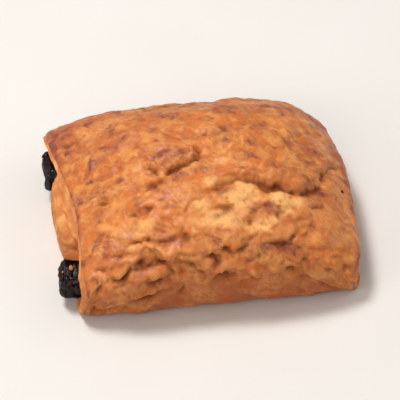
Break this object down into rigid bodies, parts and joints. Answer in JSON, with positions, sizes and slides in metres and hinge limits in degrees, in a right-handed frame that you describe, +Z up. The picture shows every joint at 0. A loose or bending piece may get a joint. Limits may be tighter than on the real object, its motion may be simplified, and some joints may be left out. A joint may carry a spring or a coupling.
{
  "type": "chocolate pastry roll",
  "caption": "Oblong flaky pastry roll, browned and crinkled on top, folded over two bars of dark chocolate whose ends show at its side.",
  "frame": {"origin": "centre of the footprint, on the surface that the roll rests on", "axes": "+X along the roll, away from the shown end; +Y towards its back; +Z up"},
  "size_m": [0.1259, 0.097, 0.0494],
  "materials": {
    "crust": "golden brown baked layered dough with an egg glaze: semi-gloss on the raised skin, matt in the splits",
    "chocolate": "baked dark chocolate, nearly black, crumbly with a dull sheen"
  },
  "bodies": {
    "root": {"pastry": "crust", "chocolate_front": "chocolate", "chocolate_back": "chocolate"}
  },
  "joints": []
}
